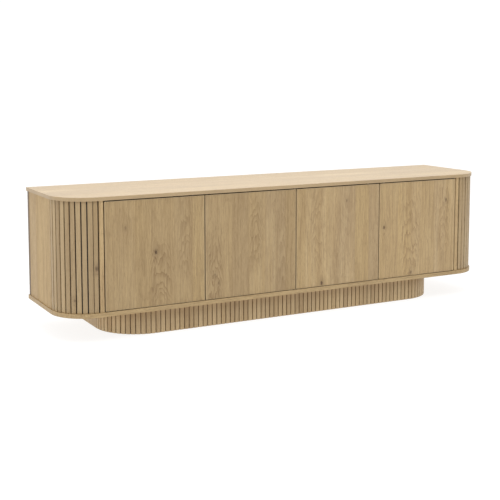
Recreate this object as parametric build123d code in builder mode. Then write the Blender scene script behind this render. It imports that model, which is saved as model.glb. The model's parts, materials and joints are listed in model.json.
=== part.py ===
"""Low media cabinet: four push-to-open doors between two round-cornered panels, on a fluted plinth.

Frame: +X to the cabinet's right as seen from the front, +Y to the back, +Z up, millimetres.
The origin is on the floor, in the middle of the cabinet's footprint. The doors face -Y.
"""

from build123d import *
import math
import os

os.makedirs("parts", exist_ok=True)

# ---- Driving dimensions ----
WIDTH = 1800.0
DEPTH = 400.0
HEIGHT = 500.0
TOP_THICK = 13.0
BOTTOM_THICK = 15.0
PANEL_RADIUS = 130.0
OVERHANG = 4.0
BOARD = 15.0
SHELF_THICK = 16.0

# Doors
DOOR_PITCH = 375.0
DOOR_GAP = 4.0
DOOR_THICK = 18.0
DOOR_TOP_GAP = 4.2
DOOR_BOTTOM_GAP = 2.0

# Fluted corners: a grooved board bent round each front corner
SKIN_THICK = 12.0
FLUTE_PITCH = 20.0
FLUTE_COUNT = 10
FLUTE_WIDTH = 4.2
NARROW_FLUTE_WIDTH = 2.0
FLUTE_DEPTH = 7.0
STILE_JOINT_WIDTH = 5.0

# Plinth
GLIDE_HEIGHT = 1.5
GLIDE_RADIUS = 12.0
PLINTH_HEIGHT = 89.5
PLINTH_WIDTH = 1424.0
PLINTH_SETBACK = 40.0
PLINTH_RADIUS = 162.0
PLINTH_SKIN = 8.0
PLINTH_CORE = 18.0
SLAT_COUNT_FRONT = 60
SLAT_COUNT_CORNER = 14
SLAT_GROOVE_WIDTH = 3.2
SLAT_GROOVE_DEPTH = 4.0

# Back
BACK_POST_THICK = 22.0
BACK_POST_INSET = 0.5
BACK_PANEL_THICK = 6.0
CABLE_HOLE_RADIUS = 30.0
GROMMET_BORE_RADIUS = 25.0
GROMMET_FLANGE_RADIUS = 34.0
GROMMET_FLANGE_THICK = 2.0
CABLE_HOLE_HEIGHT = 160.0

# Knife hinges
HINGE_INSET = 5.0
PIN_RADIUS = 2.0
LEAF_THICK = 2.5
LEAF_KNUCKLE_RADIUS = 4.0
LEAF_WIDTH = 10.0
LEAF_LENGTH = 60.0
RUNNING_CLEARANCE = 0.05
WASHER_RADIUS = 4.0
WASHER_CLEARANCE = 0.1
SCREW_HEAD_RADIUS = 3.0
SCREW_HEAD_THICK = 1.5
SCREW_SHANK_RADIUS = 1.5
SCREW_SHANK_LENGTH = 12.0

# Push latches
LATCH_FROM_DOOR_EDGE = 35.0
LATCH_LENGTH = 60.0
LATCH_WIDTH = 18.0
LATCH_HEIGHT = 14.0
LATCH_SETBACK = 7.0
PLUNGER_RADIUS = 4.0
PLUNGER_LENGTH = 46.0
PLUNGER_CLEARANCE = 0.08
LATCH_BORE_DEPTH = 57.0
STRIKE_THICK = 1.2
STRIKE_SIZE = 16.0
STRIKE_AIR = 0.4

# Shelf pins, dowels and cam fittings
SHELF_CLEARANCE = 1.0
SHELF_FRONT = -158.0
SHELF_HOLE_RADIUS = 2.5
SHELF_PIN_RADIUS = 2.45
SHELF_HOLE_DEPTH = 6.0
SHELF_PIN_OUT = 7.0
SHELF_HOLE_PITCH = 32.0
SHELF_HOLE_MIDDLE = 290.0
SHELF_HOLE_ROWS_Y = (-120.0, 145.0)
DOWEL_RADIUS = 4.0
DOWEL_IN_PANEL = 9.0
DOWEL_IN_BOARD = 20.0
DOWEL_ROWS_Y = (-150.0, 150.0)
CAM_ROWS_Y = (-90.0, 90.0)
CAM_RADIUS = 7.5
CAM_DEPTH = 11.0
CAM_FROM_END = 24.0
BOLT_RADIUS = 3.0

# ---- Derived positions ----
FRONT = -DEPTH / 2
BACK = DEPTH / 2
HALF = WIDTH / 2
BOTTOM_LOW = GLIDE_HEIGHT + PLINTH_HEIGHT
BOTTOM_HIGH = BOTTOM_LOW + BOTTOM_THICK
TOP_LOW = HEIGHT - TOP_THICK
BODY_HEIGHT = TOP_LOW - BOTTOM_HIGH
FACE = FRONT + OVERHANG
SIDE = HALF - OVERHANG
CORNER_X = HALF - PANEL_RADIUS
CORNER_Y = FRONT + PANEL_RADIUS
SKIN_RADIUS = PANEL_RADIUS - OVERHANG
SKIN_INNER = SKIN_RADIUS - SKIN_THICK
OPENING_HALF = 2 * DOOR_PITCH + DOOR_GAP / 2
GABLE_OUT = OPENING_HALF + BOARD
DOOR_BACK = FACE + DOOR_THICK
DOOR_LOW = BOTTOM_HIGH + DOOR_BOTTOM_GAP
DOOR_HIGH = TOP_LOW - DOOR_TOP_GAP
BACK_LINE = BACK - BACK_POST_THICK
DIVIDER_FRONT = DOOR_BACK + 2.0
PIVOT_Y = FACE + HINGE_INSET
SHELF_Z = SHELF_HOLE_MIDDLE + SHELF_PIN_RADIUS
SEAM_Y = CORNER_Y + 1.0

DOORS = ("far_left", "mid_left", "mid_right", "far_right")
HINGED_LEFT = {"far_left": True, "mid_left": False, "mid_right": True, "far_right": False}


def save(part, name):
    part.label = name
    export_step(part, f"parts/{name}.step")


def block(x0, x1, y0, y1, z0, z1, mode=Mode.ADD):
    """A box between two corners, in the current part."""
    with Locations(((x0 + x1) / 2, (y0 + y1) / 2, (z0 + z1) / 2)):
        Box(abs(x1 - x0), abs(y1 - y0), abs(z1 - z0), mode=mode)


def rod(x, y, z0, z1, radius, mode=Mode.ADD):
    """An upright cylinder from z0 to z1, in the current part."""
    with Locations((x, y, (z0 + z1) / 2)):
        Cylinder(radius, abs(z1 - z0), mode=mode)


def rod_x(x0, x1, y, z, radius, mode=Mode.ADD):
    """A cylinder along X from x0 to x1, in the current part."""
    with Locations(((x0 + x1) / 2, y, z)):
        Cylinder(radius, abs(x1 - x0), rotation=(0, 90, 0), mode=mode)


def rod_y(x, y0, y1, z, radius, mode=Mode.ADD):
    """A cylinder along Y from y0 to y1, in the current part."""
    with Locations((x, (y0 + y1) / 2, z)):
        Cylinder(radius, abs(y1 - y0), rotation=(90, 0, 0), mode=mode)


def door_span(index):
    """The left and right edges of a door."""
    left = -2 * DOOR_PITCH + index * DOOR_PITCH
    return left + DOOR_GAP / 2, left + DOOR_PITCH - DOOR_GAP / 2


def pivot(index):
    """The pivot's X, and +1 where the door runs to the right of it or -1 to the left."""
    left, right = door_span(index)
    if HINGED_LEFT[DOORS[index]]:
        return left + HINGE_INSET, 1
    return right - HINGE_INSET, -1


def leaf_outline(pivot_x, run):
    """A knife hinge leaf in plan: a knuckle round the pivot and a strip along the door's middle."""
    strip_y = FACE + DOOR_THICK / 2 + 1.0
    start = pivot_x + run * 9.0
    end = pivot_x + run * LEAF_LENGTH
    with BuildSketch(mode=Mode.PRIVATE) as leaf:
        with Locations((pivot_x, PIVOT_Y)):
            Circle(LEAF_KNUCKLE_RADIUS)
        with Locations(((start + end) / 2, strip_y)):
            Rectangle(abs(end - start), LEAF_WIDTH)
        with BuildLine():
            Polyline(
                (pivot_x, PIVOT_Y - LEAF_KNUCKLE_RADIUS),
                (start, strip_y - LEAF_WIDTH / 2),
                (start, strip_y + LEAF_WIDTH / 2),
                (pivot_x - run * 2.4, PIVOT_Y + 3.2),
                (pivot_x - run * 0.5, PIVOT_Y),
                close=True,
            )
        make_face()
    return leaf.sketch


def leaf_screws(pivot_x, run):
    """The places of a leaf's two screws."""
    y = FACE + DOOR_THICK / 2 + 1.0
    return [(pivot_x + run * 24.0, y), (pivot_x + run * 48.0, y)]


def panel_outline():
    """The top and bottom panels' shape: square at the back, rounded at the front."""
    with BuildSketch(mode=Mode.PRIVATE) as outline:
        Rectangle(WIDTH, DEPTH)
        fillet(outline.vertices().group_by(Axis.Y)[0], radius=PANEL_RADIUS)
    return outline.sketch


# Each upright board: its two faces, and where its front edge is
UPRIGHTS = {
    "gable_left": (-GABLE_OUT, -OPENING_HALF, FACE),
    "centre_divider": (-BOARD / 2, BOARD / 2, DIVIDER_FRONT),
    "gable_right": (OPENING_HALF, GABLE_OUT, FACE),
}
UPRIGHT_MIDDLES = [(low + high) / 2 for low, high, front in UPRIGHTS.values()]
CAM_FACES = (-OPENING_HALF, -BOARD / 2, OPENING_HALF)
CAM_INWARDS = (-1, 1, 1)


def joint_holes(inner, outer, radius, rows):
    """Blind holes for dowels or cam bolts over each upright board, from a panel's inner face."""
    for x in UPRIGHT_MIDDLES:
        for y in rows:
            rod(x, y, inner, outer, radius, Mode.SUBTRACT)


# ---- Top and bottom panels ----
with BuildPart() as top_panel:
    with BuildSketch(Plane.XY.offset(TOP_LOW)):
        add(panel_outline())
    extrude(amount=TOP_THICK)
    joint_holes(TOP_LOW, TOP_LOW + DOWEL_IN_PANEL, DOWEL_RADIUS, DOWEL_ROWS_Y)
    joint_holes(TOP_LOW, TOP_LOW + DOWEL_IN_PANEL, BOLT_RADIUS, CAM_ROWS_Y)
    for index in range(4):
        with BuildSketch(Plane.XY.offset(TOP_LOW)):
            add(leaf_outline(*pivot(index)))
        extrude(amount=LEAF_THICK, mode=Mode.SUBTRACT)
save(top_panel.part, "top_panel")

with BuildPart() as bottom_panel:
    with BuildSketch(Plane.XY.offset(BOTTOM_LOW)):
        add(panel_outline())
    extrude(amount=BOTTOM_THICK)
    joint_holes(BOTTOM_HIGH, BOTTOM_HIGH - DOWEL_IN_PANEL, DOWEL_RADIUS, DOWEL_ROWS_Y)
    joint_holes(BOTTOM_HIGH, BOTTOM_HIGH - DOWEL_IN_PANEL, BOLT_RADIUS, CAM_ROWS_Y)
    for index in range(4):
        with BuildSketch(Plane.XY.offset(BOTTOM_HIGH - LEAF_THICK)):
            add(leaf_outline(*pivot(index)))
        extrude(amount=LEAF_THICK, mode=Mode.SUBTRACT)
save(bottom_panel.part, "bottom_panel")

# ---- Upright boards, with holes for dowels, cams and shelf pins ----
SHELF_FACES = {
    "gable_left": ((-OPENING_HALF, -1),),
    "centre_divider": ((-BOARD / 2, 1), (BOARD / 2, -1)),
    "gable_right": ((OPENING_HALF, 1),),
}
SHELF_HOLE_HEIGHTS = [SHELF_HOLE_MIDDLE + step * SHELF_HOLE_PITCH for step in (-2, -1, 0, 1, 2)]

for board_index, (name, (low, high, front)) in enumerate(UPRIGHTS.items()):
    middle = (low + high) / 2
    cam_face = CAM_FACES[board_index]
    cam_deep = cam_face + CAM_INWARDS[board_index] * CAM_DEPTH
    with BuildPart() as upright:
        block(low, high, front, BACK_LINE, BOTTOM_HIGH, TOP_LOW)
        for y in DOWEL_ROWS_Y:
            rod(middle, y, TOP_LOW - DOWEL_IN_BOARD, TOP_LOW, DOWEL_RADIUS, Mode.SUBTRACT)
            rod(middle, y, BOTTOM_HIGH, BOTTOM_HIGH + DOWEL_IN_BOARD, DOWEL_RADIUS, Mode.SUBTRACT)
        for y in CAM_ROWS_Y:
            rod(middle, y, TOP_LOW - CAM_FROM_END, TOP_LOW, BOLT_RADIUS, Mode.SUBTRACT)
            rod(middle, y, BOTTOM_HIGH, BOTTOM_HIGH + CAM_FROM_END, BOLT_RADIUS, Mode.SUBTRACT)
            for z in (BOTTOM_HIGH + CAM_FROM_END, TOP_LOW - CAM_FROM_END):
                rod_x(cam_face, cam_deep, y, z, CAM_RADIUS, Mode.SUBTRACT)
        for face, inwards in SHELF_FACES[name]:
            for y in SHELF_HOLE_ROWS_Y:
                for z in SHELF_HOLE_HEIGHTS:
                    rod_x(face, face + inwards * SHELF_HOLE_DEPTH, y, z, SHELF_HOLE_RADIUS, Mode.SUBTRACT)
    save(upright.part, name)

# ---- Fluted corners: one bent board each, its grooves open on the outside ----
FLUTE_STEP = math.degrees(FLUTE_PITCH / SKIN_RADIUS)


def groove_places(centre_x, centre_y, radius, angles):
    """Where grooves cross a bent board's outer face, each turned to point at the corner's centre."""
    places = []
    for angle in angles:
        turn = math.radians(angle)
        x = centre_x + radius * math.cos(turn)
        y = centre_y + radius * math.sin(turn)
        places.append(Location((x, y, 0), (0, 0, angle)))
    return places


with BuildPart() as fluted_corner:
    with BuildSketch(Plane.XY.offset(BOTTOM_HIGH)):
        with BuildLine():
            Line((GABLE_OUT, FACE), (CORNER_X, FACE))
            JernArc(start=(CORNER_X, FACE), tangent=(1, 0), radius=SKIN_RADIUS, arc_size=90)
            Line((SIDE, CORNER_Y), (SIDE, SEAM_Y))
            Line((SIDE, SEAM_Y), (SIDE - SKIN_THICK, SEAM_Y))
            Line((SIDE - SKIN_THICK, SEAM_Y), (SIDE - SKIN_THICK, CORNER_Y))
            JernArc(
                start=(SIDE - SKIN_THICK, CORNER_Y), tangent=(0, -1), radius=SKIN_INNER, arc_size=-90
            )
            Line((CORNER_X, FACE + SKIN_THICK), (GABLE_OUT, FACE + SKIN_THICK))
            Line((GABLE_OUT, FACE + SKIN_THICK), (GABLE_OUT, FACE))
        make_face()
        wide_angles = [-FLUTE_STEP * step for step in range(1, FLUTE_COUNT - 1)]
        with Locations(*groove_places(CORNER_X, CORNER_Y, SKIN_RADIUS, wide_angles)):
            Rectangle(2 * FLUTE_DEPTH, FLUTE_WIDTH, mode=Mode.SUBTRACT)
        narrow_angle = [-FLUTE_STEP * (FLUTE_COUNT - 1)]
        with Locations(*groove_places(CORNER_X, CORNER_Y, SKIN_RADIUS, narrow_angle)):
            Rectangle(2 * FLUTE_DEPTH, NARROW_FLUTE_WIDTH, mode=Mode.SUBTRACT)
        with Locations((SIDE, CORNER_Y)):
            Rectangle(2 * FLUTE_DEPTH, FLUTE_WIDTH, mode=Mode.SUBTRACT)
        with Locations((GABLE_OUT + STILE_JOINT_WIDTH / 2, FACE)):
            Rectangle(STILE_JOINT_WIDTH, 2 * FLUTE_DEPTH, mode=Mode.SUBTRACT)
    extrude(amount=BODY_HEIGHT)
save(fluted_corner.part, "fluted_corner_right")

with BuildPart() as fluted_corner_left:
    add(mirror(fluted_corner.part, about=Plane.YZ, mode=Mode.PRIVATE))
save(fluted_corner_left.part, "fluted_corner_left")

# ---- Side boards, corner formers and back posts, one of each at each end ----
SEAM_BOARD_Y = CORNER_Y + FLUTE_WIDTH / 2
FORMER_HEIGHTS = (BOTTOM_HIGH, (BOTTOM_HIGH + TOP_LOW - BOARD) / 2, TOP_LOW - BOARD)
FORMER_AIR = 0.3
POST_IN = OPENING_HALF + BOARD / 2

for side, name in ((-1, "left"), (1, "right")):
    with BuildPart() as side_board:
        block(side * (SIDE - SKIN_THICK), side * SIDE, SEAM_BOARD_Y, BACK_LINE, BOTTOM_HIGH, TOP_LOW)
    save(side_board.part, f"side_board_{name}")

    former_low = GABLE_OUT
    former_high = SIDE - SKIN_THICK - FORMER_AIR
    former_front = FACE + SKIN_THICK + FORMER_AIR
    with BuildPart() as formers:
        for z in FORMER_HEIGHTS:
            with BuildSketch(Plane.XY.offset(z)) as former_face:
                with Locations((side * (former_low + former_high) / 2, (former_front + BACK_LINE) / 2)):
                    Rectangle(former_high - former_low, BACK_LINE - former_front)
                corner = former_face.vertices().group_by(Axis.Y)[0].sort_by(Axis.X)[0 if side < 0 else -1]
                fillet(corner, radius=SKIN_INNER - FORMER_AIR)
            extrude(amount=BOARD)
    save(formers.part, f"corner_formers_{name}")

    with BuildPart() as post:
        block(side * POST_IN, side * (SIDE - BACK_POST_INSET), BACK_LINE, BACK, BOTTOM_HIGH, TOP_LOW)
    save(post.part, f"back_post_{name}")

# ---- Back panels with cable outlets ----
PANEL_MIDDLE = POST_IN / 2
PANEL_BACK = BACK_LINE + BACK_PANEL_THICK
PANEL_AIR = 0.5

for side, name in ((-1, "left"), (1, "right")):
    with BuildPart() as back_panel:
        block(side * PANEL_AIR, side * (POST_IN - PANEL_AIR), BACK_LINE, PANEL_BACK, BOTTOM_HIGH, TOP_LOW)
        rod_y(side * PANEL_MIDDLE, BACK_LINE, PANEL_BACK, CABLE_HOLE_HEIGHT, CABLE_HOLE_RADIUS, Mode.SUBTRACT)
    save(back_panel.part, f"back_panel_{name}")

    with BuildPart() as grommet:
        rod_y(side * PANEL_MIDDLE, BACK_LINE, PANEL_BACK, CABLE_HOLE_HEIGHT, CABLE_HOLE_RADIUS - 0.1)
        rod_y(
            side * PANEL_MIDDLE,
            BACK_LINE - GROMMET_FLANGE_THICK,
            BACK_LINE,
            CABLE_HOLE_HEIGHT,
            GROMMET_FLANGE_RADIUS,
        )
        rod_y(
            side * PANEL_MIDDLE,
            BACK_LINE - GROMMET_FLANGE_THICK,
            PANEL_BACK,
            CABLE_HOLE_HEIGHT,
            GROMMET_BORE_RADIUS,
            Mode.SUBTRACT,
        )
    save(grommet.part, f"cable_grommet_{name}")

# ---- Shelves and their pins ----
SHELF_BACK = BACK_LINE - 3.0
for side, name in ((-1, "left"), (1, "right")):
    near = BOARD / 2 + SHELF_CLEARANCE
    far = OPENING_HALF - SHELF_CLEARANCE
    with BuildPart() as shelf:
        block(side * near, side * far, SHELF_FRONT, SHELF_BACK, SHELF_Z, SHELF_Z + SHELF_THICK)
    save(shelf.part, f"shelf_{name}")

with BuildPart() as shelf_pins:
    for faces in SHELF_FACES.values():
        for face, inwards in faces:
            for y in SHELF_HOLE_ROWS_Y:
                deep = face + inwards * SHELF_HOLE_DEPTH
                rod_x(deep, face - inwards * SHELF_PIN_OUT, y, SHELF_HOLE_MIDDLE, SHELF_PIN_RADIUS)
save(shelf_pins.part, "shelf_pins")

# ---- Dowels and cam fittings ----
with BuildPart() as dowels:
    for x in UPRIGHT_MIDDLES:
        for y in DOWEL_ROWS_Y:
            rod(x, y, TOP_LOW - DOWEL_IN_BOARD, TOP_LOW + DOWEL_IN_PANEL, DOWEL_RADIUS)
            rod(x, y, BOTTOM_HIGH - DOWEL_IN_PANEL, BOTTOM_HIGH + DOWEL_IN_BOARD, DOWEL_RADIUS)
save(dowels.part, "dowels")

SLOT_WIDTH = 1.6
SLOT_DEPTH = 1.5
CAM_REST = CAM_FROM_END - CAM_RADIUS
with BuildPart() as cam_bolts:
    for x in UPRIGHT_MIDDLES:
        for y in CAM_ROWS_Y:
            rod(x, y, TOP_LOW - CAM_REST, TOP_LOW + DOWEL_IN_PANEL, BOLT_RADIUS)
            rod(x, y, BOTTOM_HIGH - DOWEL_IN_PANEL, BOTTOM_HIGH + CAM_REST, BOLT_RADIUS)
    for face, inwards in zip(CAM_FACES, CAM_INWARDS):
        for y in CAM_ROWS_Y:
            for z in (BOTTOM_HIGH + CAM_FROM_END, TOP_LOW - CAM_FROM_END):
                rod_x(face, face + inwards * CAM_DEPTH, y, z, CAM_RADIUS, Mode.SUBTRACT)
save(cam_bolts.part, "cam_bolts")

with BuildPart() as cam_locks:
    for face, inwards in zip(CAM_FACES, CAM_INWARDS):
        for y in CAM_ROWS_Y:
            for z in (BOTTOM_HIGH + CAM_FROM_END, TOP_LOW - CAM_FROM_END):
                rod_x(face, face + inwards * CAM_DEPTH, y, z, CAM_RADIUS)
                for across, along in ((SLOT_WIDTH, 9.0), (9.0, SLOT_WIDTH)):
                    block(
                        face,
                        face + inwards * SLOT_DEPTH,
                        y - across / 2,
                        y + across / 2,
                        z - along / 2,
                        z + along / 2,
                        Mode.SUBTRACT,
                    )
save(cam_locks.part, "cam_locks")

# ---- Hinge leaves, pins and washers that stay with the cabinet ----
with BuildPart() as frame_leaves:
    for index in range(4):
        for z in (BOTTOM_HIGH - LEAF_THICK, TOP_LOW):
            with BuildSketch(Plane.XY.offset(z)):
                add(leaf_outline(*pivot(index)))
            extrude(amount=LEAF_THICK)
            rod(pivot(index)[0], PIVOT_Y, z, z + LEAF_THICK, PIN_RADIUS, Mode.SUBTRACT)
save(frame_leaves.part, "hinge_frame_leaves")

with BuildPart() as hinge_pins:
    for index in range(4):
        rod(pivot(index)[0], PIVOT_Y, BOTTOM_HIGH - LEAF_THICK, DOOR_LOW + LEAF_THICK, PIN_RADIUS)
        rod(pivot(index)[0], PIVOT_Y, DOOR_HIGH - LEAF_THICK, TOP_LOW + LEAF_THICK, PIN_RADIUS)
save(hinge_pins.part, "hinge_pins")

WASHER_SPANS = ((BOTTOM_HIGH, DOOR_LOW - WASHER_CLEARANCE), (DOOR_HIGH + WASHER_CLEARANCE, TOP_LOW))
with BuildPart() as washers:
    for index in range(4):
        for low, high in WASHER_SPANS:
            rod(pivot(index)[0], PIVOT_Y, low, high, WASHER_RADIUS)
            rod(pivot(index)[0], PIVOT_Y, low, high, PIN_RADIUS, Mode.SUBTRACT)
save(washers.part, "hinge_washers")

# ---- Doors, each with its own hinge leaves, screws and strike plate ----
STRIKE_LOW = DOOR_HIGH - STRIKE_SIZE


def latch_x(index):
    """The middle of a door's push latch, near its free edge."""
    left, right = door_span(index)
    if HINGED_LEFT[DOORS[index]]:
        return right - LATCH_FROM_DOOR_EDGE
    return left + LATCH_FROM_DOOR_EDGE


for index, name in enumerate(DOORS):
    left, right = door_span(index)
    pivot_x, run = pivot(index)
    top_leaf = (DOOR_HIGH - LEAF_THICK, DOOR_HIGH)
    bottom_leaf = (DOOR_LOW, DOOR_LOW + LEAF_THICK)

    with BuildPart() as door:
        block(left, right, FACE, DOOR_BACK, DOOR_LOW, DOOR_HIGH)
        for low, high in (top_leaf, bottom_leaf):
            with BuildSketch(Plane.XY.offset(low)):
                add(leaf_outline(pivot_x, run))
            extrude(amount=LEAF_THICK, mode=Mode.SUBTRACT)
        for x, y in leaf_screws(pivot_x, run):
            rod(x, y, DOOR_HIGH - SCREW_SHANK_LENGTH, DOOR_HIGH, SCREW_SHANK_RADIUS, Mode.SUBTRACT)
            rod(x, y, DOOR_LOW, DOOR_LOW + SCREW_SHANK_LENGTH, SCREW_SHANK_RADIUS, Mode.SUBTRACT)
    save(door.part, f"door_{name}")

    with BuildPart() as door_leaves:
        for low, high in (top_leaf, bottom_leaf):
            with BuildSketch(Plane.XY.offset(low)):
                add(leaf_outline(pivot_x, run))
            extrude(amount=LEAF_THICK)
            rod(pivot_x, PIVOT_Y, low, high, PIN_RADIUS + RUNNING_CLEARANCE, Mode.SUBTRACT)
        for x, y in leaf_screws(pivot_x, run):
            rod(x, y, DOOR_HIGH - SCREW_HEAD_THICK, DOOR_HIGH, SCREW_HEAD_RADIUS, Mode.SUBTRACT)
            rod(x, y, DOOR_LOW, DOOR_LOW + SCREW_HEAD_THICK, SCREW_HEAD_RADIUS, Mode.SUBTRACT)
            rod(x, y, DOOR_LOW, DOOR_HIGH, SCREW_SHANK_RADIUS, Mode.SUBTRACT)
    save(door_leaves.part, f"hinge_leaves_{name}")

    with BuildPart() as door_screws:
        for x, y in leaf_screws(pivot_x, run):
            rod(x, y, DOOR_HIGH - SCREW_SHANK_LENGTH, DOOR_HIGH, SCREW_SHANK_RADIUS)
            rod(x, y, DOOR_HIGH - SCREW_HEAD_THICK, DOOR_HIGH, SCREW_HEAD_RADIUS)
            rod(x, y, DOOR_LOW, DOOR_LOW + SCREW_SHANK_LENGTH, SCREW_SHANK_RADIUS)
            rod(x, y, DOOR_LOW, DOOR_LOW + SCREW_HEAD_THICK, SCREW_HEAD_RADIUS)
    save(door_screws.part, f"hinge_screws_{name}")

    with BuildPart() as strike:
        block(
            latch_x(index) - STRIKE_SIZE / 2,
            latch_x(index) + STRIKE_SIZE / 2,
            DOOR_BACK,
            DOOR_BACK + STRIKE_THICK,
            STRIKE_LOW,
            STRIKE_LOW + STRIKE_SIZE,
        )
        fillet(strike.edges().filter_by(Axis.Y), radius=2.0)
    save(strike.part, f"strike_plate_{name}")

# ---- Push latches: a housing under the top panel, a plunger, and a spring drawn at its pressed length ----
HOUSING_FRONT = DOOR_BACK + LATCH_SETBACK
PLUNGER_FRONT = DOOR_BACK + STRIKE_THICK + STRIKE_AIR
PLUNGER_BACK = PLUNGER_FRONT + PLUNGER_LENGTH
BORE_END = HOUSING_FRONT + LATCH_BORE_DEPTH
LATCH_Z = TOP_LOW - LATCH_HEIGHT / 2
LATCH_TRAVEL = 3.0
SPRING_WIRE = 0.4
SPRING_RADIUS = 3.0
SPRING_TURNS = 6
SPRING_AIR = 0.2
SPRING_FRONT = PLUNGER_BACK + LATCH_TRAVEL + SPRING_WIRE + SPRING_AIR
SPRING_LENGTH = BORE_END - SPRING_WIRE - SPRING_AIR - SPRING_FRONT

with BuildPart() as latch_housings:
    for index in range(4):
        x = latch_x(index)
        block(
            x - LATCH_WIDTH / 2,
            x + LATCH_WIDTH / 2,
            HOUSING_FRONT,
            HOUSING_FRONT + LATCH_LENGTH,
            TOP_LOW - LATCH_HEIGHT,
            TOP_LOW,
        )
        rod_y(x, HOUSING_FRONT, BORE_END, LATCH_Z, PLUNGER_RADIUS + PLUNGER_CLEARANCE, Mode.SUBTRACT)
save(latch_housings.part, "latch_housings")

for index, name in enumerate(DOORS):
    x = latch_x(index)
    with BuildPart() as plunger:
        rod_y(x, PLUNGER_FRONT, PLUNGER_BACK, LATCH_Z, PLUNGER_RADIUS)
        chamfer(plunger.edges().filter_by(GeomType.CIRCLE).sort_by(Axis.Y)[0], length=0.8)
    save(plunger.part, f"latch_plunger_{name}")

with BuildPart() as latch_springs:
    for index in range(4):
        with BuildLine() as coil:
            Helix(
                pitch=SPRING_LENGTH / SPRING_TURNS,
                height=SPRING_LENGTH,
                radius=SPRING_RADIUS,
                center=(latch_x(index), SPRING_FRONT, LATCH_Z),
                direction=(0, 1, 0),
            )
        with BuildSketch(Plane(origin=coil.line @ 0, z_dir=coil.line % 0)):
            Circle(SPRING_WIRE)
        sweep(is_frenet=True)
save(latch_springs.part, "latch_springs")

# ---- Plinth: a fluted skin bent round a frame of rails ----
PLINTH_HALF = PLINTH_WIDTH / 2
PLINTH_FRONT = FRONT + PLINTH_SETBACK
PLINTH_BACK = BACK - PLINTH_SETBACK
PLINTH_CORNER_X = PLINTH_HALF - PLINTH_RADIUS
PLINTH_CORNER_Y = PLINTH_FRONT + PLINTH_RADIUS
PLINTH_LOW = GLIDE_HEIGHT
PLINTH_HIGH = GLIDE_HEIGHT + PLINTH_HEIGHT
CORE_RADIUS = PLINTH_RADIUS - PLINTH_SKIN
CORE_AIR = 0.3
SLAT_STEP_FRONT = 2 * PLINTH_CORNER_X / SLAT_COUNT_FRONT
SLAT_STEP_CORNER = 90.0 / SLAT_COUNT_CORNER


def bent_strip(radius, thick):
    """One plinth corner in plan: a quarter ring at the right."""
    with BuildSketch(mode=Mode.PRIVATE) as ring:
        with BuildLine():
            CenterArc((PLINTH_CORNER_X, PLINTH_CORNER_Y), radius, -90, 90)
            Line(
                (PLINTH_CORNER_X + radius, PLINTH_CORNER_Y),
                (PLINTH_CORNER_X + radius - thick, PLINTH_CORNER_Y),
            )
            CenterArc((PLINTH_CORNER_X, PLINTH_CORNER_Y), radius - thick, -90, 90)
            Line(
                (PLINTH_CORNER_X, PLINTH_CORNER_Y - radius + thick),
                (PLINTH_CORNER_X, PLINTH_CORNER_Y - radius),
            )
        make_face()
    return ring.sketch


with BuildPart() as plinth_skin:
    with BuildSketch(Plane.XY.offset(PLINTH_LOW)):
        add(bent_strip(PLINTH_RADIUS, PLINTH_SKIN))
        mirror(about=Plane.YZ)
        with Locations((0, PLINTH_FRONT + PLINTH_SKIN / 2)):
            Rectangle(2 * PLINTH_CORNER_X, PLINTH_SKIN)
        front_grooves = [
            (-PLINTH_CORNER_X + SLAT_STEP_FRONT * step, PLINTH_FRONT) for step in range(SLAT_COUNT_FRONT + 1)
        ]
        with Locations(*front_grooves):
            Rectangle(SLAT_GROOVE_WIDTH, 2 * SLAT_GROOVE_DEPTH, mode=Mode.SUBTRACT)
        right_angles = [-SLAT_STEP_CORNER * step for step in range(SLAT_COUNT_CORNER)]
        left_angles = [180 - angle for angle in right_angles]
        with Locations(*groove_places(PLINTH_CORNER_X, PLINTH_CORNER_Y, PLINTH_RADIUS, right_angles)):
            Rectangle(2 * SLAT_GROOVE_DEPTH, SLAT_GROOVE_WIDTH, mode=Mode.SUBTRACT)
        with Locations(*groove_places(-PLINTH_CORNER_X, PLINTH_CORNER_Y, PLINTH_RADIUS, left_angles)):
            Rectangle(2 * SLAT_GROOVE_DEPTH, SLAT_GROOVE_WIDTH, mode=Mode.SUBTRACT)
    extrude(amount=PLINTH_HEIGHT)
save(plinth_skin.part, "plinth_fluted_skin")

with BuildPart() as corner_cores:
    with BuildSketch(Plane.XY.offset(PLINTH_LOW)):
        add(bent_strip(CORE_RADIUS - CORE_AIR, PLINTH_CORE))
        mirror(about=Plane.YZ)
    extrude(amount=PLINTH_HEIGHT)
save(corner_cores.part, "plinth_corner_cores")

CORE_FRONT = PLINTH_FRONT + PLINTH_SKIN
with BuildPart() as front_rail:
    block(-PLINTH_CORNER_X, PLINTH_CORNER_X, CORE_FRONT, CORE_FRONT + PLINTH_CORE, PLINTH_LOW, PLINTH_HIGH)
save(front_rail.part, "plinth_front_rail")

for side, name in ((-1, "left"), (1, "right")):
    with BuildPart() as side_rail:
        block(
            side * (PLINTH_HALF - PLINTH_CORE),
            side * PLINTH_HALF,
            PLINTH_CORNER_Y,
            PLINTH_BACK,
            PLINTH_LOW,
            PLINTH_HIGH,
        )
    save(side_rail.part, f"plinth_side_rail_{name}")

REAR_IN = PLINTH_HALF - PLINTH_CORE
with BuildPart() as rear_rail:
    block(-REAR_IN, REAR_IN, PLINTH_BACK - PLINTH_CORE, PLINTH_BACK, PLINTH_LOW, PLINTH_HIGH)
save(rear_rail.part, "plinth_rear_rail")

CROSS_X = (-PLINTH_CORNER_X + PLINTH_CORE, 0.0, PLINTH_CORNER_X - PLINTH_CORE)
with BuildPart() as cross_rails:
    for x in CROSS_X:
        block(
            x - PLINTH_CORE / 2,
            x + PLINTH_CORE / 2,
            CORE_FRONT + PLINTH_CORE,
            PLINTH_BACK - PLINTH_CORE,
            PLINTH_LOW,
            PLINTH_HIGH,
        )
save(cross_rails.part, "plinth_cross_rails")

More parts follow.
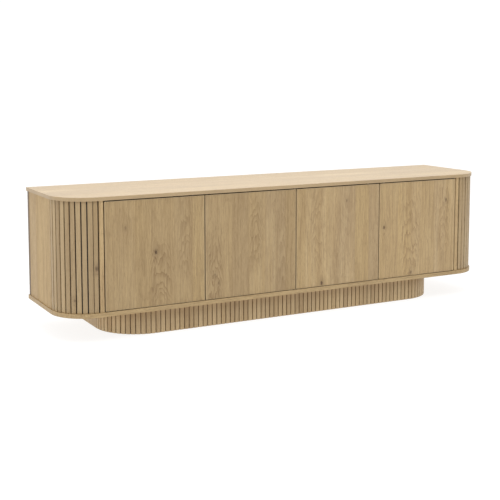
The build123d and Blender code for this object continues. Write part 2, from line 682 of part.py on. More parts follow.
BLOCK_SIZE = 40.0
BLOCK_Y = (CORE_FRONT + PLINTH_CORE, PLINTH_BACK - PLINTH_CORE - BLOCK_SIZE)
BLOCK_X = [x + PLINTH_CORE / 2 for x in CROSS_X[:2]] + [CROSS_X[2] - PLINTH_CORE / 2 - BLOCK_SIZE]
PLINTH_SCREW_RADIUS = 2.0
PLINTH_SCREW_HEAD = 4.0
PLINTH_SCREW_IN = 10.0
HEAD_THICK = 2.5

with BuildPart() as corner_blocks:
    for x in BLOCK_X:
        for y in BLOCK_Y:
            block(x, x + BLOCK_SIZE, y, y + BLOCK_SIZE, PLINTH_HIGH - BLOCK_SIZE, PLINTH_HIGH)
            rod(
                x + BLOCK_SIZE / 2,
                y + BLOCK_SIZE / 2,
                PLINTH_HIGH - BLOCK_SIZE,
                PLINTH_HIGH,
                PLINTH_SCREW_RADIUS,
                Mode.SUBTRACT,
            )
save(corner_blocks.part, "plinth_blocks")

with BuildPart() as plinth_screws:
    for x in BLOCK_X:
        for y in BLOCK_Y:
            middle = (x + BLOCK_SIZE / 2, y + BLOCK_SIZE / 2)
            low = PLINTH_HIGH - BLOCK_SIZE
            rod(*middle, low, PLINTH_HIGH, PLINTH_SCREW_RADIUS)
            rod(*middle, low - HEAD_THICK, low, PLINTH_SCREW_HEAD)
save(plinth_screws.part, "plinth_screws")

GLIDE_PLACES = [(x, y) for x in CROSS_X for y in (CORE_FRONT + 30.0, PLINTH_BACK - 40.0)]
GLIDE_PLACES += [(side * (PLINTH_HALF - 14.0), y) for side in (-1, 1) for y in (35.0, PLINTH_BACK - 25.0)]
with BuildPart() as glides:
    for x, y in GLIDE_PLACES:
        rod(x, y, 0, GLIDE_HEIGHT, GLIDE_RADIUS)
    chamfer(glides.edges().filter_by(GeomType.CIRCLE).group_by(Axis.Z)[0], length=0.6)
save(glides.part, "glides")

# ---- Back panel screws ----
BACK_SCREW_INSET = 4.0
BACK_SCREW_HEIGHTS = [BOTTOM_HIGH + 40.0, (BOTTOM_HIGH + TOP_LOW) / 2, TOP_LOW - 40.0]
with BuildPart() as back_screws:
    for side in (-1, 1):
        for x in (BACK_SCREW_INSET, POST_IN - BACK_SCREW_INSET):
            for z in BACK_SCREW_HEIGHTS:
                rod_y(side * x, PANEL_BACK, PANEL_BACK + 1.2, z, 3.5)
save(back_screws.part, "back_panel_screws")
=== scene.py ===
"""Looks for the media cabinet: oak-grain laminate, cut flutes, hardware, and soft studio light."""

import json
import math

import bmesh
import bpy
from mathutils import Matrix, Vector


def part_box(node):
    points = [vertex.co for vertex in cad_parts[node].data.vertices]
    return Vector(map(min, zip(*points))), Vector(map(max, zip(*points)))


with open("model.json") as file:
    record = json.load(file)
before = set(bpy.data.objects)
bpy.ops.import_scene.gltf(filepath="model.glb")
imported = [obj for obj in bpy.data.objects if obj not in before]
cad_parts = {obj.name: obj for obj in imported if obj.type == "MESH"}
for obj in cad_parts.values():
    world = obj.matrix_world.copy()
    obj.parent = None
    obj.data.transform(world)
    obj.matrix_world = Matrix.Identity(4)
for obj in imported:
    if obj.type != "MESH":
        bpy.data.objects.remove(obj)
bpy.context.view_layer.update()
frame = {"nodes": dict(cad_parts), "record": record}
nodes = frame["nodes"]
scene = bpy.context.scene
MM = 0.001

# ---- Places read from the frame ----
top_low, top_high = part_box("top_panel")
HALF = top_high.x
FRONT = top_low.y
HEIGHT = top_high.z
PANEL_RADIUS = 130 * MM
CORNER_X = HALF - PANEL_RADIUS
CORNER_Y = FRONT + PANEL_RADIUS
SKIN_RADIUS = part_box("side_board_right")[1].x - CORNER_X
JAMB_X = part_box("fluted_corner_right")[0].x
FLUTE_PITCH = 20 * MM
plinth_low, plinth_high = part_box("plinth_fluted_skin")
PLINTH_FRONT = plinth_low.y
PLINTH_RADIUS = plinth_high.y - plinth_low.y
PLINTH_CORNER_X = plinth_high.x - PLINTH_RADIUS
PLINTH_CORNER_Y = PLINTH_FRONT + PLINTH_RADIUS
PLINTH_FRONT_SLATS = 60
PLINTH_CORNER_SLATS = 14

# Added to a run, positive on the right and negative on the left, so that the two sides' grain differs
CORNER_RUN_OFFSET = 2.0
PLINTH_RUN_OFFSET = 3.0


# ---- Shader graph helpers ----
class Graph:
    """A material's node tree with short calls for the nodes used here."""

    def __init__(self, name):
        self.material = bpy.data.materials.new(name)
        self.material.use_nodes = True
        self.tree = self.material.node_tree
        self.tree.nodes.clear()
        self.shader = self.new("ShaderNodeBsdfPrincipled")
        output = self.new("ShaderNodeOutputMaterial")
        self.tree.links.new(self.shader.outputs[0], output.inputs[0])
        self.position = self.new("ShaderNodeTexCoord").outputs["Object"]

    def new(self, kind, **settings):
        node = self.tree.nodes.new(kind)
        for key, value in settings.items():
            setattr(node, key, value)
        return node

    def put(self, socket, value):
        if isinstance(value, bpy.types.NodeSocket):
            self.tree.links.new(value, socket)
        elif value is not None:
            socket.default_value = value

    def math(self, operation, a, b=None, c=None, clamp=False):
        node = self.new("ShaderNodeMath", operation=operation, use_clamp=clamp)
        for socket, value in zip(node.inputs, (a, b, c)):
            self.put(socket, value)
        return node.outputs[0]

    def axes(self, vector):
        node = self.new("ShaderNodeSeparateXYZ")
        self.put(node.inputs[0], vector)
        return node.outputs

    def vector(self, x, y, z):
        node = self.new("ShaderNodeCombineXYZ")
        for socket, value in zip(node.inputs, (x, y, z)):
            self.put(socket, value)
        return node.outputs[0]

    def noise(self, vector, scale, detail=3.0, roughness=0.55, distortion=0.0):
        node = self.new("ShaderNodeTexNoise")
        self.put(node.inputs["Vector"], vector)
        node.inputs["Scale"].default_value = scale
        node.inputs["Detail"].default_value = detail
        node.inputs["Roughness"].default_value = roughness
        node.inputs["Distortion"].default_value = distortion
        return node.outputs["Fac"]

    def white(self, value):
        node = self.new("ShaderNodeTexWhiteNoise", noise_dimensions="1D")
        self.put(node.inputs["W"], value)
        return node.outputs["Value"]

    def ramp(self, value, low, high, out_low=0.0, out_high=1.0):
        node = self.new("ShaderNodeMapRange", interpolation_type="SMOOTHSTEP")
        for socket, number in zip(node.inputs, (value, low, high, out_low, out_high)):
            self.put(socket, number)
        return node.outputs[0]

    def mix(self, share, a, b, blend="MIX"):
        node = self.new("ShaderNodeMix", data_type="RGBA", blend_type=blend)
        self.put(node.inputs[0], share)
        self.put(node.inputs[6], a)
        self.put(node.inputs[7], b)
        return node.outputs[2]

    def bump(self, height, strength, distance):
        node = self.new("ShaderNodeBump")
        node.inputs["Strength"].default_value = strength
        node.inputs["Distance"].default_value = distance
        self.put(node.inputs["Height"], height)
        self.put(self.shader.inputs["Normal"], node.outputs[0])

    def finish(self, colour, roughness, specular=0.35):
        self.put(self.shader.inputs["Base Color"], colour)
        self.put(self.shader.inputs["Roughness"], roughness)
        self.shader.inputs["Specular IOR Level"].default_value = specular
        return self.material


def srgb(red, green, blue):
    """A colour written as 0 to 255 values on a screen, in the linear light that shaders use."""

    def linear(value):
        share = value / 255
        return share / 12.92 if share <= 0.04045 else ((share + 0.055) / 1.055) ** 2.4

    return (linear(red), linear(green), linear(blue), 1.0)


# ---- Oak-grain laminate ----
OAK_LIGHT = srgb(212, 186, 142)
OAK_MIDDLE = srgb(197, 168, 122)
OAK_GREY = srgb(182, 156, 119)
OAK_YELLOW = srgb(198, 168, 114)
OAK_DARK = srgb(142, 112, 72)
KNOT_DARK = srgb(84, 58, 32)
GROOVE_CORE_AND_SHADE = srgb(40, 28, 14)
PLINTH_GROOVE_CORE_AND_SHADE = srgb(120, 93, 60)
POST_EDGE = srgb(104, 80, 50)
EDGE_WORN_HIGHLIGHT = srgb(216, 193, 154)
OAK_GAP_SHADE = srgb(112, 87, 54)
OAK_PAINTED_TOP_LIGHT = srgb(224, 213, 194)
OAK_SHADED_RIM = srgb(166, 140, 102)
KNOT_STRETCH = 1.6
HALO_SHARE = 0.28


def knot_eyes(g, u, v, grain_u, knots):
    """Knots push the grain aside and leave dark, ragged eyes: the bent grain, and the eyes as a mask."""
    eye = None
    for knot_u, knot_v, size, strength in knots:
        du = g.math("DIVIDE", g.math("SUBTRACT", u, knot_u), size)
        dv = g.math("DIVIDE", g.math("SUBTRACT", v, knot_v), size * KNOT_STRETCH)
        distance = g.math("SQRT", g.math("ADD", g.math("MULTIPLY", du, du), g.math("MULTIPLY", dv, dv)))
        push = g.ramp(distance, 0.0, 7.0, size * 1.2, 0.0)
        side = g.math("ARCTAN2", du, 0.7)
        grain_u = g.math("SUBTRACT", grain_u, g.math("MULTIPLY", push, side))
        ragged = g.math("ADD", distance, g.math("MULTIPLY", g.noise(g.position, 210.0, 3.0), 1.3))
        core = g.ramp(ragged, 0.9, 2.0, strength, 0.0)
        halo = g.ramp(ragged, 1.2, 4.2, strength * HALO_SHARE, 0.0)
        spot = g.math("MAXIMUM", core, halo)
        eye = spot if eye is None else g.math("MAXIMUM", eye, spot)
    return grain_u, eye


def cathedral_arches(g, u, v, seed, cathedrals):
    """Cathedral figure: nested arches round a plank's middle line, as a mask."""
    arches = None
    for arch_u, arch_v, half_width, rise, share in cathedrals:
        du = g.math("DIVIDE", g.math("SUBTRACT", u, arch_u), half_width)
        dv = g.math("DIVIDE", g.math("SUBTRACT", v, arch_v), rise)
        bend = g.noise(g.vector(u, g.math("MULTIPLY", v, 0.22), seed), 34.0, 3.0)
        bent = g.math("ADD", g.math("MULTIPLY", bend, 2.2), g.math("MULTIPLY", du, du))
        level = g.math("FRACT", g.math("ADD", g.math("MULTIPLY", bent, 2.2), g.math("MULTIPLY", dv, 1.6)))
        ring = g.math("POWER", level, 2.5)
        near_u = g.ramp(g.math("ABSOLUTE", du), 0.55, 1.25, 1.0, 0.0)
        near_v = g.ramp(g.math("ABSOLUTE", dv), 0.9, 2.4, share, 0.0)
        ring = g.math("MULTIPLY", ring, g.math("MULTIPLY", near_u, near_v))
        arches = ring if arches is None else g.math("MAXIMUM", arches, ring)
    return arches


def plank_tones(g, colour, plank, place):
    """Each plank leans to grey, yellow or dark, with a faint seam between planks."""
    for shift, share, tint in ((0.0, 0.60, OAK_GREY), (17.0, 0.60, OAK_YELLOW), (31.0, 0.14, OAK_DARK)):
        number = g.math("ADD", plank, shift)
        colour = g.mix(g.math("MULTIPLY", g.white(number), share), colour, tint)
    seam = g.math("ABSOLUTE", g.math("SUBTRACT", g.math("FRACT", place), 0.5))
    return g.mix(g.ramp(seam, 0.485, 0.5, 0.0, 0.18), colour, OAK_DARK)


def worn_highlight_and_gap_shade(g, colour, gap, depth):
    """Arrises rubbed lighter on the face, partly wear and partly a painted highlight, and the side faces
    below painted darker, a painted shade as in the gaps between doors.
    """
    rub = g.math("MULTIPLY", g.noise(g.position, 140.0, 3.0), 1.6 * MM)
    worn_highlight = g.ramp(g.math("SUBTRACT", gap, rub), 0.0, 0.9 * MM, 0.6, 0.0)
    worn_highlight = g.math("MULTIPLY", worn_highlight, g.ramp(depth, 0.8 * MM, 1.8 * MM, 1.0, 0.0))
    # Painted highlight: a ragged lighter line along the face's arrises, partly wear
    colour = g.mix(worn_highlight, colour, EDGE_WORN_HIGHLIGHT)
    # Painted shade: the side faces below the face are darkened, as in the gaps between doors
    return g.mix(g.ramp(depth, 1.0 * MM, 2.8 * MM, 0.0, 0.70), colour, OAK_GAP_SHADE)


def oak(
    name,
    along,
    across,
    planks=0.0,
    seed=0.0,
    knots=(),
    cathedrals=(),
    groove=None,
    groove_colour=GROOVE_CORE_AND_SHADE,
    slat=None,
    edges=None,
    tone=1.0,
    painted_top_light=0.0,
    rim=None,
    shade=None,
    gloss=0.42,
    specular=0.5,
):
    """Printed oak: planks of differing tone, growth arcs, fine fibre, pores and knots.

    along is the axis (0, 1, 2) of the grain. across is the axis of the board's width, or a function of
    the graph that gives a place across it. knots are (across, along, size, strength) in metres.
    cathedrals are (across, along, half width, rise, strength). groove gives a 0 to 1 mask, slat a number
    that changes from one slat to the next, and edges the distance to the board's nearest arris. rim is the
    height of a top face, and below it the colour is painted darker, a painted shade that keeps the top
    face's painted light off the edges. shade is (low, high, strength): a painted shadow, a darker tone
    towards the upper end of upright grain, where an overhang above would shade it.
    """
    g = Graph(name)
    axes = g.axes(g.position)
    v = axes[along]
    if callable(across):
        u = across(g, axes)
        w = 0.0
    else:
        u = axes[across]
        w = axes[3 - along - across]

    # Planks, each with its own stretch of grain
    start = g.math("ADD", u, seed * 3.17)
    wobble = g.noise(g.vector(start, g.math("MULTIPLY", v, 0.4), seed), 6.0, 2.0)
    grain_u = g.math("ADD", start, g.math("MULTIPLY", g.math("SUBTRACT", wobble, 0.5), 0.018))
    plank = 0.0
    if planks:
        uneven = g.noise(g.vector(start, seed, 0.0), 9.0, 1.0)
        place = g.math("ADD", g.math("DIVIDE", start, planks), g.math("MULTIPLY", uneven, 1.4))
        plank = g.math("FLOOR", place)
    offset = g.math("MULTIPLY", g.white(g.math("ADD", plank, seed)), 9.0)

    grain_u, eye = knot_eyes(g, u, v, grain_u, knots)

    def stretched(share, scale, detail=2.0, roughness=0.55):
        """Noise drawn out along the grain: share is its width over its length."""
        run = g.math("ADD", g.math("MULTIPLY", v, share), offset)
        space = g.vector(grain_u, run, g.math("MULTIPLY", w, 0.5))
        return g.noise(space, scale, detail, roughness)

    bands = stretched(0.045, 42.0, 2.0)
    stripes = stretched(0.030, 120.0, 2.0)
    streaks = stretched(0.028, 300.0, 2.0)
    fibre = stretched(0.022, 900.0, 2.0, 0.6)
    dashes = g.ramp(stretched(0.060, 300.0, 1.0), 0.64, 0.78)
    pores = g.ramp(stretched(0.045, 1300.0, 0.0), 0.60, 0.74)
    patches = stretched(0.20, 12.0, 2.0)

    # Growth arcs show here and there, where a plank is cut near the heart
    arc_space = g.vector(grain_u, g.math("ADD", g.math("MULTIPLY", v, 0.17), offset), seed)
    field = g.math("ADD", g.noise(arc_space, 9.0, 1.0, 0.4), g.math("MULTIPLY", streaks, 0.03))
    arcs = g.math("POWER", g.math("FRACT", g.math("MULTIPLY", field, 15.0)), 3.0)
    arcs = g.math("MULTIPLY", arcs, g.ramp(patches, 0.40, 0.60))

    arches = cathedral_arches(g, u, v, seed, cathedrals)
    colour = g.mix(g.ramp(bands, 0.32, 0.68), OAK_MIDDLE, OAK_LIGHT)
    colour = g.mix(g.ramp(patches, 0.35, 0.68, 0.0, 0.45), colour, OAK_GREY)
    if planks:
        colour = plank_tones(g, colour, plank, place)
    colour = g.mix(g.ramp(stripes, 0.46, 0.74, 0.0, 0.30), colour, OAK_DARK)
    colour = g.mix(g.ramp(streaks, 0.42, 0.74, 0.0, 0.34), colour, OAK_DARK)
    colour = g.mix(g.math("MULTIPLY", arcs, 0.26), colour, OAK_DARK)
    if arches is not None:
        colour = g.mix(g.math("MULTIPLY", arches, 0.72), colour, OAK_DARK)
    colour = g.mix(g.ramp(fibre, 0.42, 0.74, 0.0, 0.34), colour, OAK_DARK)
    colour = g.mix(g.math("MULTIPLY", dashes, 0.22), colour, KNOT_DARK)
    colour = g.mix(g.math("MULTIPLY", pores, 0.28), colour, KNOT_DARK)
    if slat is not None:
        number = slat(g, axes)
        colour = g.mix(g.math("MULTIPLY", g.white(number), 0.38), colour, OAK_DARK)
        colour = g.mix(g.math("MULTIPLY", g.white(g.math("ADD", number, 57.3)), 0.40), colour, OAK_LIGHT)
    if eye is not None:
        colour = g.mix(eye, colour, KNOT_DARK)
    if edges is not None:
        colour = worn_highlight_and_gap_shade(g, colour, *edges(g, axes))
    if groove is not None:
        colour = g.mix(groove(g, axes), colour, groove_colour)
    # Painted light: a lighter, greyer tone over the top panel, for the light from above and the sheen on
    # its top face
    if painted_top_light:
        colour = g.mix(painted_top_light, colour, OAK_PAINTED_TOP_LIGHT)
    # Painted shade: below the top face the colour is darker, so the top's painted light stops at its edges
    if rim is not None:
        below = g.ramp(g.math("SUBTRACT", rim, axes[2]), 0.0006, 0.0016, 0.0, 0.6)
        colour = g.mix(below, colour, OAK_SHADED_RIM)
    # Painted shadow: the upper end of upright grain is darkened, where an overhang above would shade it
    if shade is not None:
        low, high, share = shade
        colour = g.mix(g.ramp(v, low, high, 0.0, share), colour, OAK_DARK)
    if tone != 1.0:
        colour = g.mix(1.0, colour, (tone, tone, tone, 1.0), "MULTIPLY")

    # Brushed satin surface: pores, fibre and dashes sit slightly lower, and pores and fibre are less
    # glossy
    low = g.math("ADD", g.math("MULTIPLY", pores, 0.7), g.math("MULTIPLY", fibre, 0.6))
    low = g.math("ADD", low, g.math("MULTIPLY", dashes, 0.8))
    g.bump(g.math("SUBTRACT", 1.0, low), 0.18, 0.0003)
    rough = g.math("ADD", gloss, g.math("MULTIPLY", fibre, 0.14))
    rough = g.math("ADD", rough, g.math("MULTIPLY", pores, 0.10))
    return g.finish(colour, rough, specular)


def box_edges(low, high, first, second):
    """A function giving the distance to the nearest arris of a door's face, and the depth below it."""

    def distances(g, axes):
        gaps = []
        for axis in (first, second):
            gaps.append(g.math("SUBTRACT", axes[axis], low[axis]))
            gaps.append(g.math("SUBTRACT", high[axis], axes[axis]))
        nearest = g.math("MINIMUM", gaps[0], gaps[1])
        nearest = g.math("MINIMUM", nearest, g.math("MINIMUM", gaps[2], gaps[3]))
        return nearest, g.math("SUBTRACT", axes[1], low[1])

    return distances


def corner_angle(g, axes, centre_x, centre_y):
    """The angle round a front corner, 0 at the side and 90 degrees at the front, in radians."""
    x = g.math("SUBTRACT", g.math("ABSOLUTE", axes[0]), centre_x)
    y = g.math("SUBTRACT", centre_y, axes[1])
    return g.math("ARCTAN2", y, x)


def run_round(g, axes, centre_x, centre_y, radius):
    """How far along the skin a point is: round the arc, then on along the straight front."""
    angle = corner_angle(g, axes, centre_x, centre_y)
    arc = g.math("MULTIPLY", angle, radius)
    x = g.math("ABSOLUTE", axes[0])
    straight = g.math("ADD", g.math("SUBTRACT", centre_x, x), radius * math.pi / 2)
    on_arc = g.math("GREATER_THAN", x, centre_x)
    return g.math("ADD", g.math("MULTIPLY", on_arc, g.math("SUBTRACT", arc, straight)), straight)


def skin_depth(g, axes, centre_x, centre_y, radius):
    """How far a point lies below the skin's outer face."""
    x = g.math("MAXIMUM", g.math("SUBTRACT", g.math("ABSOLUTE", axes[0]), centre_x), 0.0)
    y = g.math("MAXIMUM", g.math("SUBTRACT", centre_y, axes[1]), 0.0)
    distance = g.math("SQRT", g.math("ADD", g.math("MULTIPLY", x, x), g.math("MULTIPLY", y, y)))
    return g.math("SUBTRACT", radius, distance)


def corner_run(g, axes):
    run = run_round(g, axes, CORNER_X, CORNER_Y, SKIN_RADIUS)
    return g.math("ADD", run, g.math("MULTIPLY", g.math("SIGN", axes[0]), CORNER_RUN_OFFSET))


def corner_groove(g, axes):
    """The grooves' floors, painted near black, partly the bare core and partly painted shade, and the
    jambs' faces that meet the outer doors, painted dark as shade in the gaps.
    """
    depth = skin_depth(g, axes, CORNER_X, CORNER_Y, SKIN_RADIUS)
    # Painted shade: the groove floors are near black, partly the bare core and partly the shade down in
    # the grooves
    floor = g.ramp(depth, 2.5 * MM, 6.5 * MM)
    # Painted shade on the jambs' faces beside the outer doors' gaps
    from_jamb = g.math("SUBTRACT", g.math("ABSOLUTE", axes[0]), JAMB_X)
    beside = g.ramp(from_jamb, 0.2 * MM, 0.6 * MM, 0.8, 0.0)
    jamb_shade = g.math("MULTIPLY", beside, g.ramp(depth, 0.8 * MM, 2.2 * MM))
    return g.math("MAXIMUM", floor, jamb_shade)


def corner_slat(g, axes):
    run = run_round(g, axes, CORNER_X, CORNER_Y, SKIN_RADIUS)
    side = g.math("MULTIPLY", g.math("SIGN", axes[0]), 40.0)
    return g.math("ADD", g.math("FLOOR", g.math("DIVIDE", run, FLUTE_PITCH)), side)


def plinth_groove(g, axes):
    # Darker groove walls and floors: partly the bare core and partly painted shade in the grooves
    depth = skin_depth(g, axes, PLINTH_CORNER_X, PLINTH_CORNER_Y, PLINTH_RADIUS)
    return g.ramp(depth, 1.0 * MM, 3.6 * MM)


def plinth_run(g, axes):
    run = run_round(g, axes, PLINTH_CORNER_X, PLINTH_CORNER_Y, PLINTH_RADIUS)
    return g.math("ADD", run, g.math("MULTIPLY", g.math("SIGN", axes[0]), PLINTH_RUN_OFFSET))


def post_edge(g, axes):
    """The rear posts' outer edges, which are left bare."""
    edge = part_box("back_post_right")[1].x
    return g.ramp(g.math("SUBTRACT", edge, g.math("ABSOLUTE", axes[0])), 0.6 * MM, 1.4 * MM, 0.92, 0.0)


def plinth_slat(g, axes):
    x = g.math("ADD", axes[0], PLINTH_CORNER_X)
    straight = g.math("FLOOR", g.math("DIVIDE", x, 2 * PLINTH_CORNER_X / PLINTH_FRONT_SLATS))
    angle = corner_angle(g, axes, PLINTH_CORNER_X, PLINTH_CORNER_Y)
    step = math.pi / 2 / PLINTH_CORNER_SLATS
    arc = g.math("ADD", g.math("FLOOR", g.math("DIVIDE", angle, step)), 200.0)
    arc = g.math("MULTIPLY", arc, g.math("SIGN", axes[0]))
    on_arc = g.math("GREATER_THAN", g.math("ABSOLUTE", axes[0]), PLINTH_CORNER_X)
    return g.math("ADD", g.math("MULTIPLY", on_arc, g.math("SUBTRACT", arc, straight)), straight)


def plain(name, colour, roughness, metallic=0.0, grain=300.0, spread=0.10, bump=0.05):
    """A plain material with fine mottling in its colour, gloss and surface."""
    g = Graph(name)
    mottle = g.noise(g.position, grain, 3.0)
    darker = tuple(c * (1 - spread) for c in colour[:3]) + (1.0,)
    lighter = tuple(min(1.0, c * (1 + spread)) for c in colour[:3]) + (1.0,)
    mixed = g.mix(g.ramp(mottle, 0.3, 0.7), darker, lighter)
    g.shader.inputs["Metallic"].default_value = metallic
    g.bump(mottle, bump, 0.0003)
    rough = g.math("ADD", roughness - 0.05, g.math("MULTIPLY", mottle, 0.10))
    return g.finish(mixed, rough, 0.5)


def chipboard(name):
    """Raw particle board: flakes of light and dark wood."""
    g = Graph(name)
    flakes = g.new("ShaderNodeTexVoronoi")
    g.put(flakes.inputs["Vector"], g.position)
    flakes.inputs["Scale"].default_value = 420.0
    tint = g.axes(flakes.outputs["Color"])[0]
    colour = g.mix(tint, srgb(196, 168, 122), srgb(148, 118, 78))
    dust = g.noise(g.position, 900.0, 2.0)
    colour = g.mix(g.ramp(dust, 0.6, 0.8, 0.0, 0.5), colour, srgb(104, 80, 50))
    g.bump(tint, 0.25, 0.0004)
    return g.finish(colour, 0.75, 0.2)


# ---- Materials ----
X, Y, Z = 0, 1, 2
# Places on a door are rounded shares of its width and height
door_knots = {
    "door_far_left": [(0.50, 0.50, 0.0058, 0.95), (0.20, 0.75, 0.0050, 0.35)],
    "door_mid_left": [(0.10, 0.23, 0.0050, 0.50), (0.14, 0.15, 0.0044, 0.45)],
    "door_mid_right": [(0.30, 0.03, 0.0066, 0.90), (0.60, 0.85, 0.0040, 0.60)],
    "door_far_right": [(0.06, 0.54, 0.0062, 0.80), (0.88, 0.78, 0.0062, 0.70), (0.42, 0.03, 0.0060, 0.70)],
}
door_cathedrals = {
    "door_far_left": [(0.55, 0.30, 0.045, 0.060, 1.0), (0.80, 0.60, 0.030, 0.080, 0.7)],
    "door_mid_left": [
        (0.10, 0.22, 0.034, 0.080, 1.0),
        (0.55, 0.60, 0.030, 0.070, 0.9),
        (0.85, 0.40, 0.026, 0.110, 0.6),
    ],
    "door_mid_right": [(0.25, 0.60, 0.032, 0.090, 0.7), (0.55, 0.35, 0.040, 0.110, 0.35)],
    "door_far_right": [(0.40, 0.40, 0.050, 0.100, 0.9), (0.85, 0.60, 0.035, 0.090, 0.7)],
}


def on_face(node, marks):
    """Marks whose first two numbers are shares of a node's width and height, placed in metres."""
    low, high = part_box(node)
    placed = []
    for across, up, *rest in marks:
        placed.append((low.x + across * (high.x - low.x), low.z + up * (high.z - low.z), *rest))
    return placed


PLANK_WIDTHS = (0.062, 0.055, 0.068, 0.060)
# Painted light: the doors are toned lighter from left to right, as the light on the front grows towards
# the right
DOOR_PAINTED_LIGHT_TONES = (0.84, 0.85, 0.92, 0.97)
for index, (name, knots) in enumerate(door_knots.items()):
    material = oak(
        f"{name}_oak",
        Z,
        X,
        planks=PLANK_WIDTHS[index],
        seed=1.3 + 2.1 * index,
        knots=on_face(name, knots),
        cathedrals=on_face(name, door_cathedrals[name]),
        edges=box_edges(*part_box(name), X, Z),
        tone=DOOR_PAINTED_LIGHT_TONES[index],
    )
    nodes[name].data.materials.clear()
    nodes[name].data.materials.append(material)

# Knots on the left corner: (flutes round from the side, share of the height, size, strength)
FLUTED_KNOTS = ((9.5, 0.40, 0.0070, 0.75), (10.4, 0.27, 0.0070, 0.85), (5.7, 0.12, 0.0050, 0.60))
corner_low, corner_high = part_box("fluted_corner_left")
fluted_knots = []
for flutes, up, size, strength in FLUTED_KNOTS:
    height = corner_low.z + up * (corner_high.z - corner_low.z)
    fluted_knots.append((flutes * FLUTE_PITCH - CORNER_RUN_OFFSET, height, size, strength))
materials = {
    # Painted light on the top panel: a lighter tone, and painted darker edges below the top face
    "top_oak": oak("top_oak", X, Y, planks=0.085, seed=9.4, gloss=0.34, painted_top_light=0.18, rim=HEIGHT),
    "base_oak": oak("base_oak", X, Y, planks=0.09, seed=4.2, tone=0.89),
    "side_oak": oak("side_oak", Z, Y, planks=0.07, seed=6.8, tone=0.98, gloss=0.5, specular=0.25),
    "fluted_oak": oak(
        "fluted_oak",
        Z,
        corner_run,
        seed=2.7,
        groove=corner_groove,
        slat=corner_slat,
        knots=fluted_knots,
        tone=0.82,
    ),
    "board_oak": oak("board_oak", Z, Y, planks=0.08, seed=5.5),
    "shelf_oak": oak("shelf_oak", X, Y, planks=0.08, seed=7.7),
    "plinth_oak": oak(
        "plinth_oak",
        Z,
        plinth_run,
        seed=3.6,
        groove=plinth_groove,
        groove_colour=PLINTH_GROOVE_CORE_AND_SHADE,
        slat=plinth_slat,
        # Painted shadow under the bottom panel's overhang, on the plinth's upper few centimetres
        shade=(plinth_high.z - 55 * MM, plinth_high.z - 12 * MM, 0.40),
        tone=0.97,
    ),
    "plinth_side_oak": oak("plinth_side_oak", Z, Y, planks=0.07, seed=8.1, tone=0.94),
    "plinth_rear_oak": oak("plinth_rear_oak", X, Z, planks=0.07, seed=11.6, tone=0.88),
    "post_oak": oak(
        "post_oak",
        Z,
        X,
        planks=0.09,
        seed=12.9,
        tone=0.88,
        groove=post_edge,
        groove_colour=POST_EDGE,
    ),
    "back_board": oak("back_board", Z, X, planks=0.12, seed=10.2, tone=0.86),
    "chipboard": chipboard("chipboard"),
    "dowel_beech": plain("dowel_beech", srgb(206, 172, 128), 0.6, grain=600.0),
    "dark_plastic": plain("dark_plastic", srgb(52, 48, 44), 0.5, grain=1500.0, bump=0.12),
    "plunger_plastic": plain("plunger_plastic", srgb(190, 190, 186), 0.4),
    "glide_plastic": plain("glide_plastic", srgb(36, 34, 32), 0.5),
    "nylon": plain("nylon", srgb(70, 54, 36), 0.5),
    "steel": plain("steel", srgb(190, 190, 188), 0.28, metallic=1.0, grain=900.0),
    "hinge_steel": plain("hinge_steel", srgb(150, 132, 104), 0.36, metallic=1.0, grain=900.0),
    "zinc": plain("zinc", srgb(188, 188, 184), 0.35, metallic=1.0, grain=700.0),
}
SPECIAL = {
    "plinth_rear_rail": "plinth_rear_oak",
    "shelf_left": "shelf_oak",
    "shelf_right": "shelf_oak",
    "plinth_side_rail_left": "plinth_side_oak",
    "plinth_side_rail_right": "plinth_side_oak",
}
for part in frame["record"]["subparts"]:
    name = part["node"]
    if name in door_knots:
        continue
    chosen = SPECIAL.get(name, part["material_slot"])
    nodes[name].data.materials.clear()
    nodes[name].data.materials.append(materials[chosen])


# ---- Edges: the listed boards' arrises are eased ----
def ease(name, width, segments=2, angle=40.0):
    """Merges the imported faces, joins flat ones, and rounds the sharp edges a little."""
    obj = nodes[name]
    weld = obj.modifiers.new("weld", "WELD")
    weld.merge_threshold = 0.00001
    flat = obj.modifiers.new("flat", "DECIMATE")
    flat.decimate_type = "DISSOLVE"
    flat.angle_limit = math.radians(0.3)
    bevel = obj.modifiers.new("bevel", "BEVEL")
    bevel.width = width
    bevel.segments = segments
    bevel.limit_method = "ANGLE"
    bevel.angle_limit = math.radians(angle)
    bevel.harden_normals = False
    bevel.use_clamp_overlap = True


EASED = {"top_panel": 0.9, "bottom_panel": 0.9, "plinth_fluted_skin": 0.5}
EASED.update({name: 0.8 for name in door_knots})
EASED.update({f"fluted_corner_{side}": 0.6 for side in ("left", "right")})
for kind in ("gable", "side_board", "shelf"):
    EASED.update({f"{kind}_{side}": 0.6 for side in ("left", "right")})
for name, width in EASED.items():
    ease(name, width * MM)

# ---- Camera ----
SENSOR = 36.0
IMAGE_WIDTH = 500.0
FOCAL = 1004.8
YAW = math.radians(28.375)
PITCH = math.radians(6.010)
camera_data = bpy.data.cameras.new("camera")
camera_data.sensor_width = SENSOR
camera_data.lens = FOCAL * SENSOR / IMAGE_WIDTH
camera_data.shift_y = -0.15
camera = bpy.data.objects.new("camera", camera_data)
scene.collection.objects.link(camera)
camera.location = (-1.9010, -3.3552, 0.9233)
forward = Vector((math.sin(YAW) * math.cos(PITCH), math.cos(YAW) * math.cos(PITCH), -math.sin(PITCH)))
camera.rotation_euler = forward.to_track_quat("-Z", "Y").to_euler()
scene.camera = camera

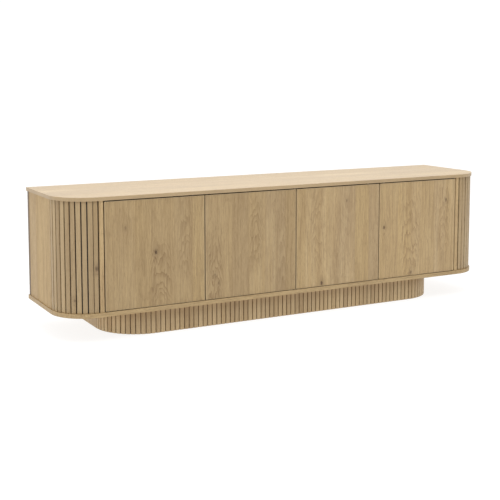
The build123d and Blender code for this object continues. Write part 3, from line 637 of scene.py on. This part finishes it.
# ---- Floor and light ----
scene.view_settings.view_transform = "Standard"
scene.view_settings.look = "None"
floor_mesh = bpy.data.meshes.new("floor")
floor_build = bmesh.new()
bmesh.ops.create_circle(floor_build, cap_ends=True, radius=30.0, segments=96)
floor_build.to_mesh(floor_mesh)
floor_build.free()
floor = bpy.data.objects.new("floor", floor_mesh)
scene.collection.objects.link(floor)
floor_graph = Graph("floor")
floor_tint = floor_graph.noise(floor_graph.position, 2.0, 2.0)
floor_colour = floor_graph.mix(floor_tint, (0.24, 0.24, 0.24, 1.0), (0.26, 0.26, 0.26, 1.0))
floor_graph.shader.inputs["Emission Color"].default_value = (1.0, 1.0, 1.0, 1.0)
floor_graph.shader.inputs["Emission Strength"].default_value = 0.85
floor.data.materials.append(floor_graph.finish(floor_colour, 0.9, 0.0))

# The studio's walls: white behind and to the left, dimmer in front, white overhead
world = bpy.data.worlds.new("studio")
scene.world = world
world.use_nodes = True
world_nodes = world.node_tree.nodes
world_links = world.node_tree.links
background = world_nodes["Background"]
background.inputs["Color"].default_value = (1.0, 1.0, 1.0, 1.0)
direction = world_nodes.new("ShaderNodeTexCoord")
parts = world_nodes.new("ShaderNodeSeparateXYZ")
world_links.new(direction.outputs["Generated"], parts.inputs[0])
FRONT_DIM = 0.05
LEFT_LEVEL = 0.36
BACK_LEVEL = 1.05


def world_ramp(socket, low, high, out_low, out_high):
    node = world_nodes.new("ShaderNodeMapRange")
    node.interpolation_type = "SMOOTHSTEP"
    world_links.new(socket, node.inputs[0])
    for place, number in zip(list(node.inputs)[1:5], (low, high, out_low, out_high)):
        place.default_value = number
    return node.outputs[0]


def world_math(operation, first, second):
    node = world_nodes.new("ShaderNodeMath")
    node.operation = operation
    world_links.new(first, node.inputs[0])
    world_links.new(second, node.inputs[1])
    return node.outputs[0]


from_front = world_ramp(parts.outputs[1], -0.75, 0.05, FRONT_DIM, BACK_LEVEL)
from_left = world_ramp(parts.outputs[0], -0.95, -0.45, LEFT_LEVEL, 0.0)
from_above = world_ramp(parts.outputs[2], 0.35, 0.85, 0.0, 1.1)
near_horizon = world_ramp(parts.outputs[2], 0.10, 0.26, BACK_LEVEL, 0.0)
level = world_math("MAXIMUM", world_math("MAXIMUM", from_front, from_left), from_above)
level = world_math("MAXIMUM", level, near_horizon)
world_links.new(level, background.inputs["Strength"])


def area_light(name, place, target, size, power):
    data = bpy.data.lights.new(name, "AREA")
    data.shape = "RECTANGLE"
    data.size, data.size_y = size
    data.energy = power
    lamp = bpy.data.objects.new(name, data)
    scene.collection.objects.link(lamp)
    lamp.location = place
    lamp.rotation_euler = (Vector(target) - Vector(place)).to_track_quat("-Z", "Y").to_euler()


area_light("key", (-1.1, -2.3, 3.9), (0.0, 0.0, 0.25), (1.5, 1.5), 47.0)
area_light("overhead", (0.0, 0.1, 3.2), (0.0, 0.0, 0.0), (2.4, 1.0), 24.0)
